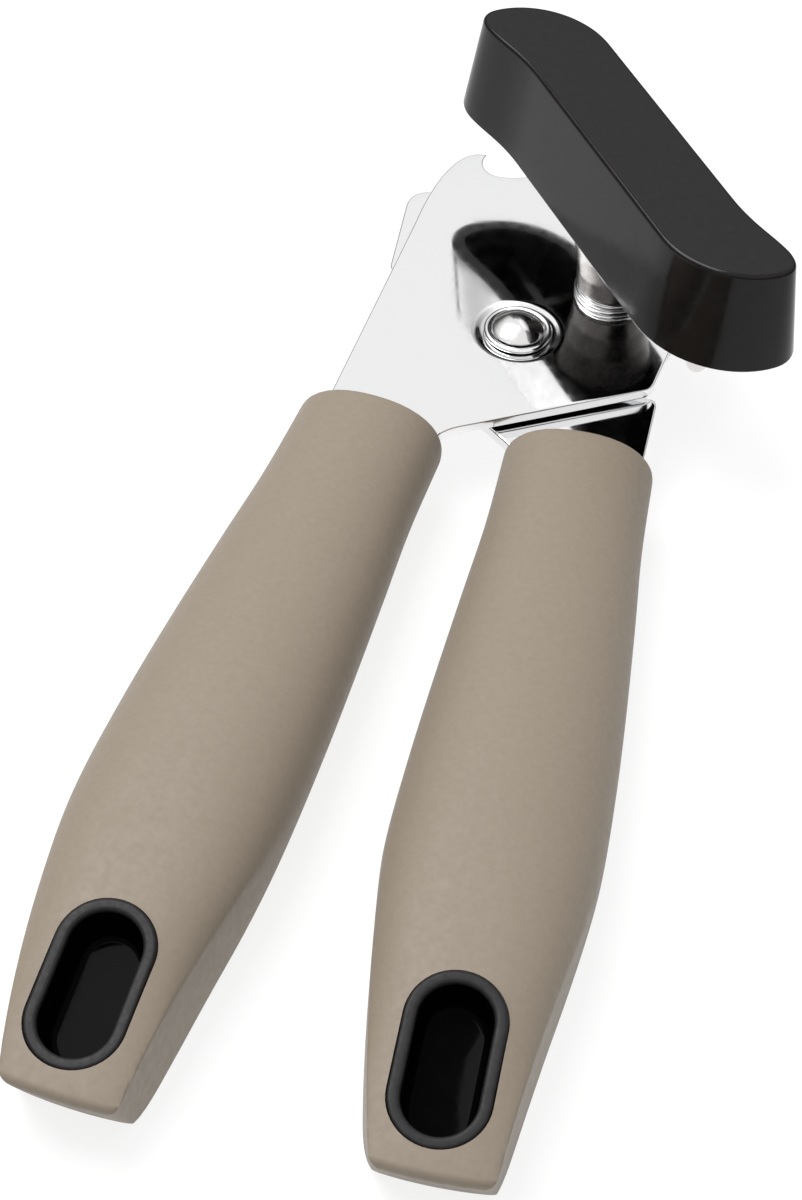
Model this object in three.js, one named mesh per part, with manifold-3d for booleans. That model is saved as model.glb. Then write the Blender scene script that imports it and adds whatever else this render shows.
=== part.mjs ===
// A manual can opener with two plate levers on one pivot rivet, an S-shaped turn key that drives a
// serrated feed wheel, and a free cutter wheel on the second lever.
//
// Millimetres, +Z up. The opener lies on its back: the turn key points up and the handles run along -Y.
// While it is built, z = 0 is the top face of the front plate and the pivot axis is x = y = 0. The last
// lines move the whole opener so that the middle of its base is the origin.
import * as THREE from "three";
import { mergeVertices } from "three/addons/utils/BufferGeometryUtils.js";
import Module from "manifold-3d";

const wasm = await Module();
wasm.setup();

// ---------------------------------------------------------------------------------------------
// Driving dimensions
// ---------------------------------------------------------------------------------------------
const ROUND = 32; // facets round a turned piece
const FIT = 0.1; // clearance round a pin or washer
const SEAT = 0.3; // clearance between moulded or pressed pieces

// The stack of plates and wheels, from the front plate's top face downwards.
const PLATE = 2.0; // sheet thickness of both levers
const FRONT_TOP = 0;
const FRONT_BACK = FRONT_TOP - PLATE;
const PLATE_GAP = 0.6;
const REAR_TOP = FRONT_BACK - PLATE_GAP;
const REAR_BACK = REAR_TOP - PLATE;

// Axes, as seen from above.
const PIVOT = new THREE.Vector2(0, 0);
const SPINDLE = new THREE.Vector2(12.8, 14.5);
const CUTTER = new THREE.Vector2(-3.4, 21.1);
const RIM_PIN = new THREE.Vector2(29, 11.6);

// Holes in the plates.
const PIVOT_HOLE = 3.3;
const BUSH_HOLE = 5.2;
const CUTTER_HOLE = 3.1;

const FEED_RADIUS = 7.5;
const FEED_TEETH = 20;
const FEED_TOP = FRONT_BACK - 1.0;
const FEED_BOTTOM = FEED_TOP - 4.0;
const BLADE_RADIUS = 11;
const BLADE_TOP = FEED_BOTTOM - 0.3;
const BLADE_BOTTOM = BLADE_TOP - 1.9;

// The turn key.
const KEY_BOTTOM = 15.0;
const KEY_TOP = 32.5;
const KEY_HALF_WIDTH = 7.5;
const KEY_HALF_LENGTH = 38.0;
const KEY_DRAFT = 2.3; // how far the sides spread from the top to the bottom
const KEY_WALL = 2.2;
const KEY_ANGLE = THREE.MathUtils.degToRad(-51.4);

// The handles: two lofts of one form that splay from their mouths to their butts.
const LEFT_MOUTH = new THREE.Vector2(-17.4, -27.8);
const LEFT_SPLAY = THREE.MathUtils.degToRad(-3.9);
const RIGHT_MOUTH = new THREE.Vector2(15.85, -26.0);
const RIGHT_SPLAY = THREE.MathUtils.degToRad(3.0);
const HANDLE_LENGTH = 133;
const HANDLE_MID = -2.3; // height of the handles' middle plane
const HANDLE_BULGE = 0.45; // how far the middle of a handle leans outwards
const BUTT_DRIFT = 1.6; // how far each butt turns to the right over its last stretch
const DRIFT_LENGTH = 32;
const BELLY = 10.4; // the flat underside, below the middle plane
const SKIN = 2.2; // thickness of the soft grip over its core
// Distance from the butt, half width and half thickness along a handle.
const HANDLE_STATIONS = [
  [0, 12.9, 5.6],
  [12, 12.85, 8.8],
  [25, 13.5, 10.8],
  [39, 15.0, 10.9],
  [53, 15.4, 10.7],
  [68, 15.1, 10.5],
  [83, 14.4, 10.1],
  [101, 13.3, 9.4],
  [116, 12.3, 8.9],
  [HANDLE_LENGTH, 11.9, 8.6],
];
const SECTION_POWER = [2.25, 3.0]; // squareness at the mouth and at the butt: 2 is an ellipse
const FLAT_START = 58; // the butt end, with upright side flats and a drooping middle, begins here
const FLAT_HALF_WIDTH = [16.2, 8.1]; // from the middle to a side flat, there and at the butt
const DROOP = 3.4; // how far the middle of the section drops at the butt
const UNDERCUT = THREE.MathUtils.degToRad(28);
const TANG_HALF_WIDTH = 6.5;
const TANG_DEPTH = 62; // how far a plate's tang runs into its handle
const SHOULDER_DEPTH = 5; // how far its full width runs in
const SHOULDER_ROOM = 22; // width of the mouth's slot

// The hang recess near each butt.
const RECESS_FROM_BUTT = 15.6;
const RECESS_LENGTH = 24.4;
const RECESS_WIDTH = 13.8;
const RECESS_RIM = 1.7;
const RECESS_DEPTH = 9;
const RECESS_TILT = THREE.MathUtils.degToRad(15.5);
const RECESS_TOP = 6.1; // height of the rim over the handle's middle plane

// ---------------------------------------------------------------------------------------------
// Solids from three.js geometry
// ---------------------------------------------------------------------------------------------
function solidOf(geometry) {
  const bare = geometry.clone();
  bare.deleteAttribute("normal");
  bare.deleteAttribute("uv");
  const merged = mergeVertices(bare, 1e-4);
  return new wasm.Manifold(
    new wasm.Mesh({
      numProp: 3,
      vertProperties: merged.attributes.position.array,
      triVerts: new Uint32Array(merged.index.array),
    }),
  );
}

function geometryOf(solid) {
  const mesh = solid.getMesh();
  const geometry = new THREE.BufferGeometry();
  geometry.setAttribute("position", new THREE.BufferAttribute(mesh.vertProperties, 3));
  geometry.setIndex(new THREE.BufferAttribute(mesh.triVerts, 1));
  const flat = geometry.toNonIndexed();
  flat.computeVertexNormals();
  return flat;
}

// A shape in the XY plane, pulled up from z0 to z1.
function plateSolid(shape, z0, z1) {
  const settings = { depth: z1 - z0, bevelEnabled: false, curveSegments: 10 };
  const geometry = new THREE.ExtrudeGeometry(shape, settings);
  geometry.translate(0, 0, z0);
  return solidOf(geometry);
}

// A closed outline of [radius, height] pairs, turned about a vertical axis at the given centre.
function turned(outline, centre = PIVOT, facets = ROUND) {
  const points = outline.map(([r, z]) => new THREE.Vector2(r, z));
  if (THREE.ShapeUtils.isClockWise(points)) points.reverse();
  const onAxis = points.filter((p) => p.x === 0);
  if (onAxis.length) {
    // Start and end on the axis.
    while (!(points[0].x === 0 && points[points.length - 1].x === 0)) points.push(points.shift());
  } else {
    points.push(points[0].clone());
  }
  const geometry = new THREE.LatheGeometry(points, facets);
  geometry.rotateX(Math.PI / 2);
  geometry.translate(centre.x, centre.y, 0);
  return solidOf(geometry);
}

// A ring or a disc: the plain washers and bushes.
function ring(centre, innerRadius, outerRadius, z0, z1) {
  return turned(
    [[innerRadius, z0], [outerRadius, z0], [outerRadius, z1], [innerRadius, z1]],
    centre,
  );
}

function box(width, depth, height, x, y, z) {
  return solidOf(new THREE.BoxGeometry(width, depth, height).translate(x, y, z));
}

// Stacked outlines joined into one closed solid. Each section is a list of Vector3 in the same order;
// flat(p) gives the plane coordinates used to close the two ends.
function loft(sections, flat) {
  const count = sections[0].length;
  const positions = sections.flat().flatMap((p) => [p.x, p.y, p.z]);
  const index = [];
  for (let i = 0; i + 1 < sections.length; i++) {
    for (let j = 0; j < count; j++) {
      const k = (j + 1) % count;
      const a = i * count + j;
      const b = i * count + k;
      index.push(a, b, b + count, a, b + count, a + count);
    }
  }
  const last = (sections.length - 1) * count;
  for (const [a, b, c] of THREE.ShapeUtils.triangulateShape(sections[0].map(flat), [])) {
    index.push(a, c, b);
    index.push(last + a, last + b, last + c);
  }
  const geometry = new THREE.BufferGeometry();
  geometry.setAttribute("position", new THREE.Float32BufferAttribute(positions, 3));
  geometry.setIndex(index);
  return solidOf(geometry);
}

// ---------------------------------------------------------------------------------------------
// Handles
// ---------------------------------------------------------------------------------------------
// side is -1 for the left handle and 1 for the right one. In a handle's own frame x runs across it,
// the mouth is at y = 0, the butt at y = -HANDLE_LENGTH, and z = 0 is its middle plane.
const mouthOf = (side) => (side < 0 ? LEFT_MOUTH : RIGHT_MOUTH);
const splayOf = (side) => (side < 0 ? LEFT_SPLAY : RIGHT_SPLAY);
const handlePoint = (side, across, depth) =>
  new THREE.Vector2(across, -depth).rotateAround(PIVOT, splayOf(side)).add(mouthOf(side));

// How far the middle of the handle leans sideways at a distance from the butt.
function leanAt(side, s) {
  const near = Math.max(0, 1 - s / DRIFT_LENGTH);
  return side * HANDLE_BULGE * Math.sin((Math.PI * s) / HANDLE_LENGTH) + BUTT_DRIFT * near ** 2;
}

// The loft of a handle, made smaller all round by inset.
function handleLoft(side, inset, steps, facets) {
  const stations = new THREE.CatmullRomCurve3(
    HANDLE_STATIONS.map(([s, w, h]) => new THREE.Vector3(s, w, h)),
  );
  const sections = stations.getPoints(steps).map(({ x: s, y: w, z: h }) => {
    const end = THREE.MathUtils.clamp(s, inset * 3, HANDLE_LENGTH - inset);
    const share = THREE.MathUtils.clamp(1 - s / FLAT_START, 0, 1);
    const drop = DROOP * THREE.MathUtils.smoothstep(share, 0, 1);
    const power = THREE.MathUtils.lerp(...SECTION_POWER, share);
    const flat = THREE.MathUtils.lerp(...FLAT_HALF_WIDTH, share ** 1.15) - inset;
    return Array.from({ length: facets }, (_, i) => {
      const angle = (2 * Math.PI * (i + 0.5)) / facets;
      const bend = (v) => Math.sign(v) * Math.abs(v) ** (2 / power);
      const x = THREE.MathUtils.clamp((w - inset) * bend(Math.cos(angle)), -flat, flat);
      const z = (h - inset) * bend(Math.sin(angle)) - drop;
      return new THREE.Vector3(leanAt(side, s) + x, end - HANDLE_LENGTH, z);
    });
  });
  const rows = sections.filter((row, i) => !i || row[0].y > sections[i - 1][0].y + 0.01);
  return loft(rows.reverse(), (p) => new THREE.Vector2(p.x, p.z));
}

// The outside of one handle: a lofted oval, flat underneath and cut back under the butt.
function handleBody(side) {
  const butt = new THREE.BoxGeometry(60, 20, 60);
  butt.translate(0, -10, 0);
  butt.rotateX(UNDERCUT);
  butt.translate(0, 2.6 - HANDLE_LENGTH, -DROOP);
  return handleLoft(side, 0, 22, 32)
    .subtract(box(60, 2 * HANDLE_LENGTH, 20, 0, -HANDLE_LENGTH / 2, -BELLY - 10))
    .subtract(solidOf(butt));
}

// A slot as wide as its length is long, with round ends, along Y.
function slotShape(width, length) {
  const r = width / 2;
  const straight = length / 2 - r;
  const shape = new THREE.Shape();
  shape.absarc(0, straight, r, 0, Math.PI);
  shape.absarc(0, -straight, r, Math.PI, 2 * Math.PI);
  return shape;
}

// A solid slot sunk into the handle's top, square to the sloping surface round the hang recess.
function recessPlug(side, grow, bottom, top) {
  const shape = slotShape(RECESS_WIDTH + 2 * grow, RECESS_LENGTH + 2 * grow);
  const settings = { depth: top - bottom, bevelEnabled: false, curveSegments: 10 };
  const geometry = new THREE.ExtrudeGeometry(shape, settings);
  geometry.translate(0, 0, bottom);
  geometry.rotateX(RECESS_TILT);
  geometry.translate(leanAt(side, RECESS_FROM_BUTT), RECESS_FROM_BUTT - HANDLE_LENGTH, RECESS_TOP);
  return solidOf(geometry);
}

// The room a plate's tang needs inside a handle, in the handle's own frame.
function tangRoom(plateTop, mouthDepth) {
  const middle = (plateTop + plateTop - PLATE) / 2 - HANDLE_MID;
  const height = PLATE + 2 * SEAT;
  const wide = box(SHOULDER_ROOM, 24, height, 0, 12 - mouthDepth, middle);
  const narrow = box(2 * (TANG_HALF_WIDTH + SEAT), TANG_DEPTH + 2, height, 0, -TANG_DEPTH / 2, middle);
  return wide.add(narrow);
}

// The soft grip: a skin round the core, open at the mouth for the plate and at the hang recess.
function grip(side, plateTop) {
  const hollow = handleLoft(side, SKIN, 16, 20);
  const recess = recessPlug(side, SEAT, -RECESS_DEPTH - SEAT, 10);
  return handleBody(side).subtract(hollow).subtract(tangRoom(plateTop, 12)).subtract(recess);
}

// The hard core inside the grip, with a slot for the tang.
function core(side, plateTop) {
  const recess = recessPlug(side, SEAT, -RECESS_DEPTH - SEAT, 10);
  const whole = handleLoft(side, SKIN + SEAT, 16, 20);
  return whole.subtract(tangRoom(plateTop, 12)).subtract(recess);
}

// The oblong cup that lines the hang recess.
function liner(side) {
  const cup = recessPlug(side, 0, -RECESS_DEPTH, 0);
  return cup.subtract(recessPlug(side, -RECESS_RIM, RECESS_RIM - RECESS_DEPTH, 1));
}

// ---------------------------------------------------------------------------------------------
// Plates
// ---------------------------------------------------------------------------------------------
function circleHole(centre, radius) {
  const hole = new THREE.Path();
  hole.absarc(centre.x, centre.y, radius, 0, 2 * Math.PI, true);
  return hole;
}

// The tang's outline inside a handle, from its left shoulder down round its end to its right shoulder.
function tangOutline(side, leftShoulder, rightShoulder) {
  const r = TANG_HALF_WIDTH;
  const end = Array.from({ length: 7 }, (_, i) => {
    const angle = Math.PI + (Math.PI * i) / 6;
    return [r * Math.cos(angle), TANG_DEPTH - r - r * Math.sin(angle)];
  });
  return [
    [-leftShoulder, SHOULDER_DEPTH],
    [-r, SHOULDER_DEPTH + 6],
    ...end,
    [r, SHOULDER_DEPTH + 6],
    [rightShoulder, SHOULDER_DEPTH],
  ].map(([across, depth]) => handlePoint(side, across, depth));
}

// The front plate: it carries the left handle, the spindle's bush, the rim pin and the bottle opener.
function frontPlate() {
  const shape = new THREE.Shape();
  const tang = tangOutline(-1, 9.4, 9.5);
  shape.moveTo(tang[0].x, tang[0].y);
  for (const p of tang.slice(1)) shape.lineTo(p.x, p.y);
  shape.lineTo(-6.5, -27.2);
  shape.quadraticCurveTo(-5.6, -25.6, -3.6, -24.4); // inner corner beside the left handle
  shape.lineTo(22.3, -7.9); // slanting lower edge
  shape.quadraticCurveTo(23.8, -7.0, 24.0, -5.6);
  shape.lineTo(25.0, 3.6);
  shape.quadraticCurveTo(25.6, 6.6, 28.0, 7.0);
  shape.absarc(RIM_PIN.x, RIM_PIN.y, 4.4, -Math.PI / 2, Math.PI / 4);
  shape.lineTo(26.5, 27);
  shape.quadraticCurveTo(23, 36, 14, 41.5);
  shape.quadraticCurveTo(6, 45.5, 0, 43.0); // heel of the bottle opener
  shape.quadraticCurveTo(-7, 39.4, -10, 38.5);
  shape.quadraticCurveTo(-13.6, 37.4, -15.0, 39.8); // throat of its mouth
  shape.quadraticCurveTo(-15.9, 41.3, -15.3, 43.2); // its hook
  shape.quadraticCurveTo(-18.3, 43.6, -20.2, 39.2);
  shape.quadraticCurveTo(-22.6, 33.5, -22.9, 22.0);
  shape.lineTo(-25.6, -24.0);
  shape.closePath();
  shape.holes.push(circleHole(PIVOT, PIVOT_HOLE), circleHole(SPINDLE, BUSH_HOLE));
  return plateSolid(shape, FRONT_BACK, FRONT_TOP);
}

// The rear plate: it carries the right handle and the cutter, and bends round the feed wheel's path.
function rearPlate() {
  const boss = 10.7; // radius left round the pivot rivet
  const clear = 9.0; // radius kept free round the feed wheel
  const shape = new THREE.Shape();
  const tang = tangOutline(1, 6.6, 9.2);
  shape.moveTo(tang[0].x, tang[0].y);
  for (const p of tang.slice(1)) shape.lineTo(p.x, p.y);
  shape.lineTo(25.5, -22.0);
  shape.lineTo(25.1, -8.2);
  shape.quadraticCurveTo(25.0, -6.4, 23.4, -6.4);
  shape.lineTo(14.0, -5.2);
  shape.absarc(PIVOT.x, PIVOT.y, boss, THREE.MathUtils.degToRad(-12), THREE.MathUtils.degToRad(56));
  shape.absarc(
    SPINDLE.x,
    SPINDLE.y,
    clear,
    THREE.MathUtils.degToRad(214),
    THREE.MathUtils.degToRad(150),
    true,
  );
  shape.quadraticCurveTo(4.6, 33.6, -3.0, 34.2);
  shape.lineTo(-21.6, 33.8);
  shape.quadraticCurveTo(-26.4, 33.4, -26.1, 28.6);
  shape.lineTo(-24.8, 12.6);
  shape.lineTo(-14.0, -8.0);
  shape.quadraticCurveTo(-6.5, -16.5, -0.5, -20.4);
  shape.lineTo(7.4, -26.4);
  shape.closePath();
  shape.holes.push(circleHole(PIVOT, PIVOT_HOLE), circleHole(CUTTER, CUTTER_HOLE));
  return plateSolid(shape, REAR_BACK, REAR_TOP);
}

// ---------------------------------------------------------------------------------------------
// Pivot
// ---------------------------------------------------------------------------------------------
function pivotRivet() {
  return turned([
    [0, 2.6],
    [2.4, 2.3],
    [4.0, 1.4],
    [4.5, 0.85],
    [PIVOT_HOLE - FIT, 0.85],
    [PIVOT_HOLE - FIT, REAR_BACK - 0.95],
    [4.8, REAR_BACK - 0.95],
    [4.3, REAR_BACK - 1.8],
    [2.6, REAR_BACK - 2.3],
    [0, REAR_BACK - 2.4],
  ]);
}

// ---------------------------------------------------------------------------------------------
// Turn key and feed wheel
// ---------------------------------------------------------------------------------------------
// The key's outline seen from above: a straight bar whose two ends flare to opposite sides.
function keyOutline() {
  const w = KEY_HALF_WIDTH;
  const l = KEY_HALF_LENGTH;
  const shape = new THREE.Shape();
  shape.moveTo(-l + 15, w);
  for (const turn of [1, -1]) {
    const at = (x, y) => [turn * x, turn * y];
    shape.lineTo(...at(l - 19, w));
    shape.bezierCurveTo(...at(l - 12, w), ...at(l - 8.5, w + 1.7), ...at(l - 4.4, w + 2.0));
    shape.bezierCurveTo(...at(l - 1.6, w + 2.1), ...at(l, w + 0.9), ...at(l, w - 1.5));
    shape.bezierCurveTo(...at(l, w - 8.5), ...at(l - 6.5, -w), ...at(l - 15, -w));
  }
  const points = shape.getPoints(7);
  if (points[0].distanceTo(points[points.length - 1]) < 1e-6) points.pop();
  return THREE.ShapeUtils.isClockWise(points) ? points.reverse() : points;
}

// The outline moved outwards by a distance (inwards if it is negative).
function grown(outline, distance) {
  const count = outline.length;
  return outline.map((p, i) => {
    const before = outline[(i + count - 1) % count];
    const after = outline[(i + 1) % count];
    const tangent = after.clone().sub(before).normalize();
    return new THREE.Vector2(p.x + tangent.y * distance, p.y - tangent.x * distance);
  });
}

function keyPrism(outline, levels) {
  const sections = levels.map(([z, growth]) =>
    grown(outline, growth).map((p) => new THREE.Vector3(p.x, p.y, z)),
  );
  return loft(sections, (p) => new THREE.Vector2(p.x, p.y));
}

function turnKey() {
  const outline = keyOutline();
  const roof = KEY_TOP - 2.6;
  const draftAt = (z) => (KEY_DRAFT * (KEY_TOP - z)) / (KEY_TOP - KEY_BOTTOM);
  const outside = keyPrism(outline, [
    [KEY_BOTTOM, draftAt(KEY_BOTTOM) - 0.3],
    [KEY_BOTTOM + 0.3, draftAt(KEY_BOTTOM + 0.3)],
    [KEY_TOP - 0.7, draftAt(KEY_TOP - 0.7)],
    [KEY_TOP - 0.2, -0.1],
    [KEY_TOP, -0.6],
  ]);
  const hollow = keyPrism(outline, [
    [KEY_BOTTOM - 1, draftAt(KEY_BOTTOM) - KEY_WALL],
    [roof, -KEY_WALL],
  ]);
  const hub = turned([[0, KEY_BOTTOM], [8.2, KEY_BOTTOM], [6.4, roof + 1], [0, roof + 1]]);
  let ribs = box(2 * KEY_HALF_LENGTH - 6, 1.6, 10, 0, 0, roof - 4);
  for (const x of [-22, 22]) ribs = ribs.add(box(1.6, 2 * KEY_HALF_WIDTH - 1, 10, x, 0, roof - 4));
  const socket = box(7.6, 3.6, 14.5, 0, 0, KEY_BOTTOM + 6).add(
    turned([[0, KEY_BOTTOM - 1], [4.2, KEY_BOTTOM - 1], [4.2, KEY_BOTTOM + 1.4], [0, KEY_BOTTOM + 1.4]]),
  );
  return outside.subtract(hollow).add(hub).add(ribs).subtract(socket);
}

// The flared sleeve between the washers and the key.
function keyCollar() {
  const top = KEY_BOTTOM - SEAT;
  return turned([
    [6.1, 1.9],
    [6.3, 5.5],
    [7.0, 9.5],
    [8.4, top],
    [7.4, top],
    [6.0, 9.8],
    [5.2, 5.6],
    [4.3, 3.0],
    [4.3, 1.9],
  ]);
}

// Spindle: round in the bush, square through the feed wheel, flat inside the key, and headed below.
function driveSpindle() {
  const foot = FEED_TOP + FIT;
  const neck = KEY_BOTTOM + 1.2;
  const shank = turned([[0, foot], [4.0, foot], [4.0, neck], [0, neck]]);
  const square = box(5, 5, foot - FEED_BOTTOM + 1, 0, 0, (foot + FEED_BOTTOM) / 2);
  const tongue = box(7.2, 3.2, 13.2, 0, 0, KEY_BOTTOM + 6.2);
  const head = turned([
    [0, FEED_BOTTOM - 0.1],
    [4.4, FEED_BOTTOM - 0.1],
    [4.1, FEED_BOTTOM - 0.9],
    [2.6, FEED_BOTTOM - 1.4],
    [0, FEED_BOTTOM - 1.5],
  ]);
  return shank.add(square).add(tongue).add(head);
}

function feedWheel() {
  const shape = new THREE.Shape();
  for (let i = 0; i < FEED_TEETH; i++) {
    const pitch = (2 * Math.PI) / FEED_TEETH;
    for (const [turn, radius] of [[0, FEED_RADIUS], [0.18, FEED_RADIUS], [0.5, FEED_RADIUS - 1.1]]) {
      const angle = (i + turn) * pitch;
      const x = radius * Math.cos(angle);
      const y = radius * Math.sin(angle);
      if (i || turn) shape.lineTo(x, y);
      else shape.moveTo(x, y);
    }
  }
  shape.closePath();
  return plateSolid(shape, FEED_BOTTOM, FEED_TOP).subtract(box(5.2, 5.2, 10, 0, 0, FEED_TOP - 2));
}

// ---------------------------------------------------------------------------------------------
// Cutter
// ---------------------------------------------------------------------------------------------
function cutterWheel() {
  return turned(
    [
      [4.7, BLADE_TOP],
      [BLADE_RADIUS - 0.05, BLADE_TOP],
      [BLADE_RADIUS, BLADE_TOP - 0.08],
      [BLADE_RADIUS - 2.6, BLADE_BOTTOM],
      [4.7, BLADE_BOTTOM],
    ],
    CUTTER,
    48,
  );
}

// The flanged bush that the cutter wheel turns on.
function cutterBush() {
  return turned(
    [
      [CUTTER_HOLE, REAR_BACK - FIT],
      [6.5, REAR_BACK - FIT],
      [6.5, BLADE_TOP + FIT],
      [4.6, BLADE_TOP + FIT],
      [4.6, BLADE_BOTTOM - FIT],
      [CUTTER_HOLE, BLADE_BOTTOM - FIT],
    ],
    CUTTER,
  );
}

function cutterStud() {
  const head = BLADE_BOTTOM - 1.0;
  return turned(
    [
      [0, REAR_TOP - 0.05],
      [CUTTER_HOLE - FIT, REAR_TOP - 0.05],
      [CUTTER_HOLE - FIT, head],
      [5.0, head],
      [4.7, head - 0.8],
      [3.0, head - 1.3],
      [0, head - 1.4],
    ],
    CUTTER,
  );
}

// ---------------------------------------------------------------------------------------------
// Materials and assembly
// ---------------------------------------------------------------------------------------------
function metal(color, roughness) {
  return new THREE.MeshStandardMaterial({ color, roughness, metalness: 1 });
}

function plastic(color, roughness) {
  return new THREE.MeshStandardMaterial({ color, roughness, metalness: 0 });
}

const CHROME = 0xe6e6e8;
const STEEL = 0xb4b4b6;
const TAUPE = 0xa29586;
const BLACK = 0x2a282a;
const RIM_GREY = 0x4b4648;

function named(name, solid, material) {
  const mesh = new THREE.Mesh(geometryOf(solid), material);
  mesh.name = name;
  return mesh;
}

// Each handle is a group in its own frame, set at its mouth and splayed.
function handleGroup(side, label, plateTop) {
  const group = new THREE.Group();
  group.add(
    named(label + "_grip", grip(side, plateTop), plastic(TAUPE, 0.65)),
    named(label + "_handle_core", core(side, plateTop), plastic(BLACK, 0.5)),
    named(label + "_hang_liner", liner(side), plastic(RIM_GREY, 0.4)),
  );
  group.position.set(mouthOf(side).x, mouthOf(side).y, HANDLE_MID);
  group.rotation.z = splayOf(side);
  return group;
}

function pivotGroup() {
  const group = new THREE.Group();
  const spacer = ring(PIVOT, PIVOT_HOLE, 8, REAR_TOP + FIT, FRONT_BACK - FIT);
  const backWasher = ring(PIVOT, PIVOT_HOLE, 5.75, REAR_BACK - 0.85, REAR_BACK - FIT);
  group.add(
    named("pivot_rivet", pivotRivet(), metal(CHROME, 0.15)),
    named("pivot_front_washer", ring(PIVOT, PIVOT_HOLE, 5.75, 0.05, 0.8), metal(CHROME, 0.2)),
    named("pivot_spacer", spacer, metal(STEEL, 0.35)),
    named("pivot_back_washer", backWasher, metal(STEEL, 0.3)),
  );
  return group;
}

// Everything that turns with the key, in a group on the spindle's axis, and the pieces it turns in.
function driveGroup() {
  const group = new THREE.Group();
  const key = new THREE.Group();
  key.add(
    named("turn_key", turnKey(), plastic(BLACK, 0.3)),
    named("drive_spindle", driveSpindle(), metal(STEEL, 0.3)),
  );
  key.rotation.z = KEY_ANGLE;
  const wheel = named("feed_wheel", feedWheel(), metal(STEEL, 0.35));
  wheel.rotation.z = KEY_ANGLE;
  const bush = turned([
    [4.1, 0.9],
    [6.3, 0.9],
    [6.3, 0.05],
    [5.1, 0.05],
    [5.1, FRONT_BACK + 0.05],
    [4.1, FRONT_BACK + 0.05],
  ]);
  group.add(
    key,
    wheel,
    named("key_collar", keyCollar(), metal(CHROME, 0.25)),
    named("spindle_bush", bush, metal(CHROME, 0.2)),
    named("spindle_washer", ring(PIVOT, 4.1, 6.0, 1.0, 1.8), metal(CHROME, 0.2)),
    named("feed_wheel_washer", ring(PIVOT, 4.1, 6.4, FEED_TOP + FIT, FRONT_BACK - FIT), metal(STEEL, 0.35)),
  );
  group.position.set(SPINDLE.x, SPINDLE.y, 0);
  return group;
}

function cutterGroup() {
  const group = new THREE.Group();
  const washer = ring(CUTTER, CUTTER_HOLE, 6.4, BLADE_BOTTOM - 0.9, BLADE_BOTTOM - 0.2);
  group.add(
    named("cutter_wheel", cutterWheel(), metal(CHROME, 0.2)),
    named("cutter_bush", cutterBush(), metal(STEEL, 0.35)),
    named("cutter_washer", washer, metal(STEEL, 0.35)),
    named("cutter_stud", cutterStud(), metal(STEEL, 0.3)),
  );
  return group;
}

// The tapered peg that rests on the can's rim.
function rimPin() {
  const top = FRONT_BACK - 0.1;
  const outline = [[0, top], [2.1, top], [1.9, -9.2], [1.3, -10.3], [0, -10.6]];
  return turned(outline, RIM_PIN, 20);
}

const opener = new THREE.Group();
opener.add(
  named("front_plate", frontPlate(), metal(CHROME, 0.15)),
  named("rear_plate", rearPlate(), metal(CHROME, 0.15)),
  named("rim_pin", rimPin(), metal(STEEL, 0.3)),
  pivotGroup(),
  driveGroup(),
  cutterGroup(),
  handleGroup(-1, "left", FRONT_TOP),
  handleGroup(1, "right", REAR_TOP),
);

// The origin is the middle of the base of the opener's box.
const extent = new THREE.Box3().setFromObject(opener, true);
const middle = extent.getCenter(new THREE.Vector3());
opener.position.set(-middle.x, -middle.y, -extent.min.z);

export default opener;
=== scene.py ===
"""A manual can opener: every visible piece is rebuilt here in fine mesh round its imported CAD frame."""
from math import acos, ceil, cos, pi, radians, sin, sqrt, tan

import bmesh
import bpy
from mathutils import Matrix, Vector
from mathutils.geometry import delaunay_2d_cdt


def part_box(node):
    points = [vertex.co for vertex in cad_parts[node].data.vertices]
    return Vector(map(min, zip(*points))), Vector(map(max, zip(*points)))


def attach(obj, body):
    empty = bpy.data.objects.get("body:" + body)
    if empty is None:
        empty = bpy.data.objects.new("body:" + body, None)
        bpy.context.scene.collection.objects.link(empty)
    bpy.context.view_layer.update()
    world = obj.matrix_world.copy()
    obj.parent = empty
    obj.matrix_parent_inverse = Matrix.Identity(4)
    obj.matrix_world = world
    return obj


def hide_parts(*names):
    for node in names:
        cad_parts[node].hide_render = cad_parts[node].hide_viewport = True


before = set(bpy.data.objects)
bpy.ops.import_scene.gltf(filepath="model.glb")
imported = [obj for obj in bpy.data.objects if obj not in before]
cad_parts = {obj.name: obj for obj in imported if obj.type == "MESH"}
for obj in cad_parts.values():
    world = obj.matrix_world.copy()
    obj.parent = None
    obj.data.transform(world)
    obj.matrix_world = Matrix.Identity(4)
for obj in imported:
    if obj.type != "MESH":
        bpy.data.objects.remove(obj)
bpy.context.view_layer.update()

scene = bpy.context.scene

# ---------------------------------------------------------------------------------------------
# Places, from the frame. Lengths are millimetres from the pivot on the front plate's top face.
# ---------------------------------------------------------------------------------------------
MM = 0.001


def centre_of(node):
    low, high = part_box(node)
    return (low + high) / 2


ORIGIN = centre_of("pivot_rivet")
ORIGIN.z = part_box("front_plate")[1].z


def axis_of(node):
    """Where a turned piece's axis stands."""
    return ((centre_of(node) - ORIGIN) / MM).to_2d()


def heights_of(node):
    low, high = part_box(node)
    return (low.z - ORIGIN.z) / MM, (high.z - ORIGIN.z) / MM


PIVOT = Vector((0, 0))
SPINDLE = axis_of("spindle_bush")
CUTTER = axis_of("cutter_wheel")
RIM_PIN = axis_of("rim_pin")
FLOOR = heights_of("left_grip")[0]
FRONT_BACK, FRONT_TOP = heights_of("front_plate")
REAR_BACK, REAR_TOP = heights_of("rear_plate")
KEY_BOTTOM, KEY_TOP = heights_of("turn_key")
FEED_BOTTOM, FEED_TOP = heights_of("feed_wheel")
BLADE_BOTTOM, BLADE_TOP = heights_of("cutter_wheel")

# The turn key.
KEY_HALF_WIDTH = 7.5
KEY_HALF_LENGTH = 37.95
KEY_DRAFT = 2.3
KEY_WALL = 2.2
KEY_ANGLE = radians(-51.4)

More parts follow.
